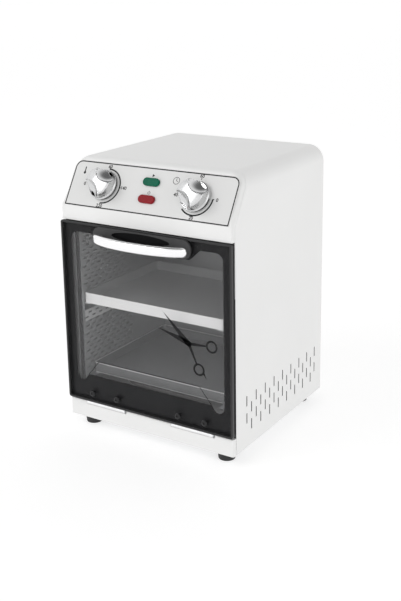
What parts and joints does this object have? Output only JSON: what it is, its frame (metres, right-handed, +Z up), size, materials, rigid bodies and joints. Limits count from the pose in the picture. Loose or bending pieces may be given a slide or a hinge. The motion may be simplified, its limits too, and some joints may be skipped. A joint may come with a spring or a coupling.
{
  "type": "dry heat sterilizer",
  "caption": "Bench cabinet that sterilizes small metal instruments with dry heat; glass door hinged at the bottom, trays inside, thermostat and timer knobs on a sloped panel.",
  "frame": {"origin": "centre of the object's bounding box in X and Y, on the underside of the feet", "axes": "+X to the right seen from the front, +Y from the door to the back panel, +Z up"},
  "size_m": [0.2356, 0.2545, 0.3362],
  "materials": {
    "casing_white": "satin powder coat",
    "overlay_white": "printed film",
    "dark_glass": "polished tempered glass",
    "black_frame": "satin black",
    "black_plastic": "fine grain",
    "grey_plastic": "fine grain",
    "ivory_plastic": "fine grain",
    "zinc_steel": "zinc plated",
    "chamber_aluminium": "bright rolled sheet",
    "bright_chrome": "polished",
    "heater_tube": "heat darkened",
    "copper_tube": "drawn tube",
    "ceramic": "unglazed ceramic",
    "wool": "pressed mineral fibre",
    "green_lens": "clear tinted lens",
    "red_lens": "clear tinted lens",
    "foot_rubber": "moulded",
    "seal_rubber": "moulded silicone",
    "magnet": "sintered"
  },
  "bodies": {
    "cabinet": {"back_panel": "casing_white", "back_screws": "zinc_steel", "base_pan": "zinc_steel", "cable_gland": "black_plastic", "chamber_frame": "chamber_aluminium", "chamber_liner": "chamber_aluminium", "control_deck": "zinc_steel", "control_fascia": "casing_white", "control_screws": "zinc_steel", "door_gasket": "seal_rubber", "door_magnet": "magnet", "duct_cover_left": "chamber_aluminium", "duct_cover_right": "chamber_aluminium", "foot_fasteners": "zinc_steel", "foot_front_left": "foot_rubber", "foot_front_right": "foot_rubber", "foot_rear_left": "foot_rubber", "foot_rear_right": "foot_rubber", "gland_nut": "black_plastic", "heater_bushes": "ceramic", "heater_clips": "ceramic", "heater_lower": "heater_tube", "heater_upper": "heater_tube", "hinge_left_fixed_leaf": "zinc_steel", "hinge_pins": "zinc_steel", "hinge_right_fixed_leaf": "zinc_steel", "insulation_back": "wool", "insulation_bottom": "wool", "insulation_sides": "wool", "insulation_top": "wool", "lower_rail": "casing_white", "lower_tray": "chamber_aluminium", "outer_casing": "casing_white", "panel_overlay": "overlay_white", "power_lamp_body": "black_plastic", "power_lamp_lens": "red_lens", "run_lamp_body": "black_plastic", "run_lamp_lens": "green_lens", "shelf_rails_lower": "zinc_steel", "shelf_rails_upper": "zinc_steel", "terminal_block": "ivory_plastic", "thermal_cutout": "ceramic", "thermostat_body": "ivory_plastic", "thermostat_bulb": "copper_tube", "timer_body": "black_plastic", "upper_tray": "chamber_aluminium"},
    "door": {"door_glass": "dark_glass", "door_inner_frame": "black_frame", "handle_bar": "bright_chrome", "handle_surround": "grey_plastic", "handle_screws": "zinc_steel", "door_screws": "black_plastic", "hinge_left_door_leaf": "zinc_steel", "hinge_right_door_leaf": "zinc_steel", "door_strike": "zinc_steel"},
    "temperature_control": {"temperature_knob": "bright_chrome", "temperature_spindle": "zinc_steel"},
    "timer_control": {"timer_knob": "bright_chrome", "timer_spindle": "zinc_steel"}
  },
  "joints": [
    {"name": "door_hinge", "type": "hinge", "parent": "cabinet", "child": "door", "pos_m": [0, -0.10165, 0.0338], "axis": [1, 0, 0], "range_deg": [0, 90]},
    {"name": "temperature_turn", "type": "hinge", "parent": "cabinet", "child": "temperature_control", "pos_m": [-0.06227, -0.08731, 0.30606], "axis": [0, -0.8572, 0.515], "range_deg": [-240, 30]},
    {"name": "timer_turn", "type": "hinge", "parent": "cabinet", "child": "timer_control", "pos_m": [0.06404, -0.08731, 0.30606], "axis": [0, -0.8572, 0.515], "range_deg": [-240, 30]}
  ]
}
